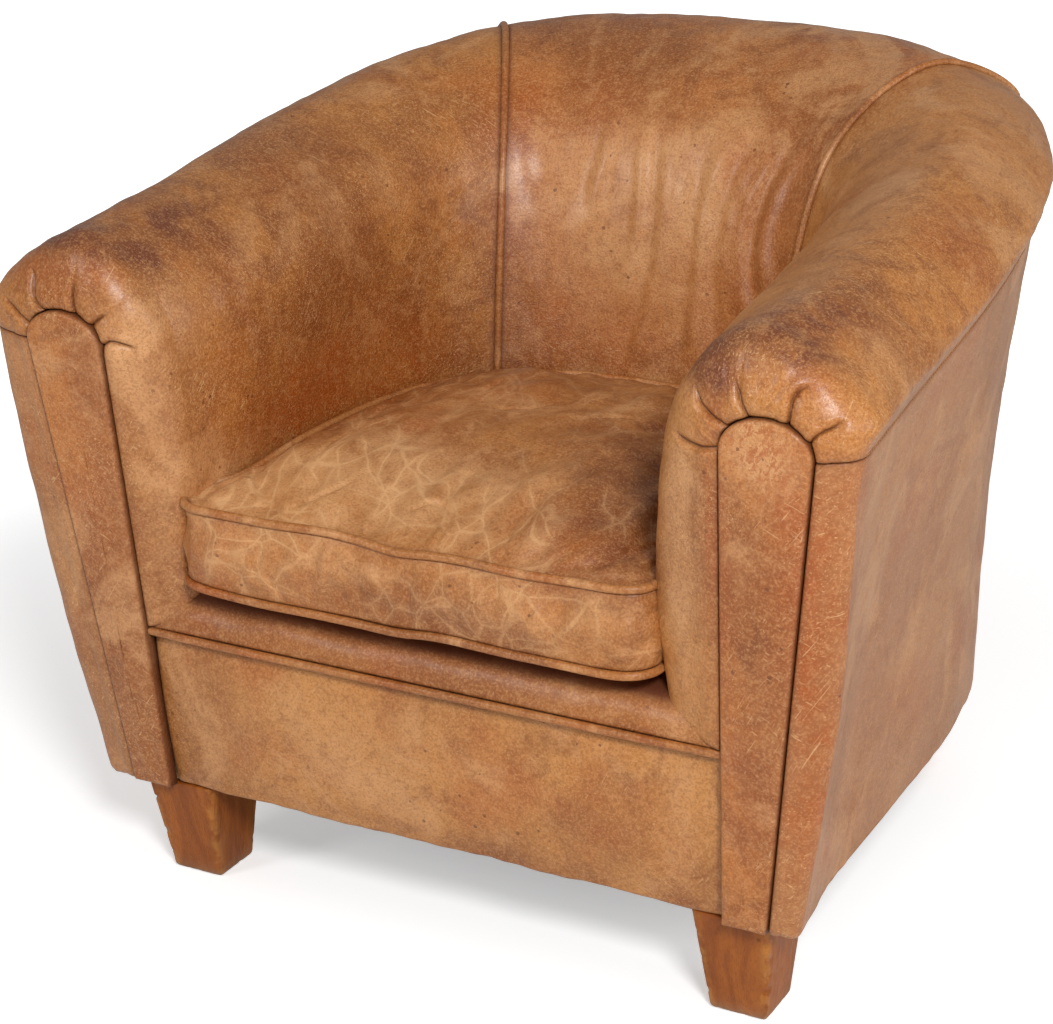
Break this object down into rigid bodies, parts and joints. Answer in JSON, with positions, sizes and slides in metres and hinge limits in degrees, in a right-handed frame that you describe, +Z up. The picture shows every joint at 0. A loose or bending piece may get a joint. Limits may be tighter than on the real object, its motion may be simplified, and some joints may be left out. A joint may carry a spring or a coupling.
{
  "type": "club chair",
  "caption": "Worn leather club chair with a low tub back, rolled arms gathered in pleats round tall front facings, a loose piped seat cushion and tapered wooden feet.",
  "frame": {"origin": "middle of the chair's footprint, on the floor", "axes": "+Z up, the chair faces -Y, +X is the viewer's right when the chair is seen from the front"},
  "size_m": [0.8294, 0.7774, 0.7327],
  "materials": {
    "leather": "satin, worn",
    "leather_light": "satin, scuffed",
    "leather_worn": "soft shine, creased",
    "piping_leather": "satin",
    "foot_wood": "stained, chipped",
    "frame_wood": "bare, planed",
    "foam": "matte",
    "webbing": "woven",
    "dark_cloth": "matte",
    "steel": "dull"
  },
  "bodies": {
    "root": {"front_left_foot": "foot_wood", "front_left_foot_bolt": "steel", "front_left_corner_block": "frame_wood", "front_right_foot": "foot_wood", "front_right_foot_bolt": "steel", "front_right_corner_block": "frame_wood", "rear_left_foot": "foot_wood", "rear_left_foot_bolt": "steel", "rear_left_corner_block": "frame_wood", "rear_right_foot": "foot_wood", "rear_right_foot_bolt": "steel", "rear_right_corner_block": "frame_wood", "left_side_rail": "frame_wood", "left_front_post": "frame_wood", "left_back_post": "frame_wood", "left_arm_rail": "frame_wood", "right_side_rail": "frame_wood", "right_front_post": "frame_wood", "right_back_post": "frame_wood", "right_arm_rail": "frame_wood", "front_rail": "frame_wood", "back_rail": "frame_wood", "curved_top_rail": "frame_wood", "left_arm_padding": "foam", "right_arm_padding": "foam", "back_padding": "foam", "left_arm_cover": "leather", "left_outside_panel": "leather_light", "right_arm_cover": "leather", "right_outside_panel": "leather_light", "inside_back_cover": "leather_worn", "outside_back_panel": "leather_light", "left_back_piping": "piping_leather", "right_back_piping": "piping_leather", "left_front_facing": "leather_light", "right_front_facing": "leather_light", "apron_panel": "leather_light", "apron_piping": "piping_leather", "seat_front_border": "leather_worn", "seat_deck_cloth": "dark_cloth", "seat_padding": "foam", "front_roll_padding": "foam", "webbing_strap_1": "webbing", "webbing_strap_2": "webbing", "webbing_strap_3": "webbing", "webbing_strap_4": "webbing", "webbing_strap_5": "webbing", "dust_cover": "dark_cloth", "cushion_core": "foam", "cushion_top_panel": "leather_worn", "cushion_bottom_panel": "leather", "cushion_border": "leather", "cushion_top_piping": "piping_leather", "cushion_bottom_piping": "piping_leather"}
  },
  "joints": []
}
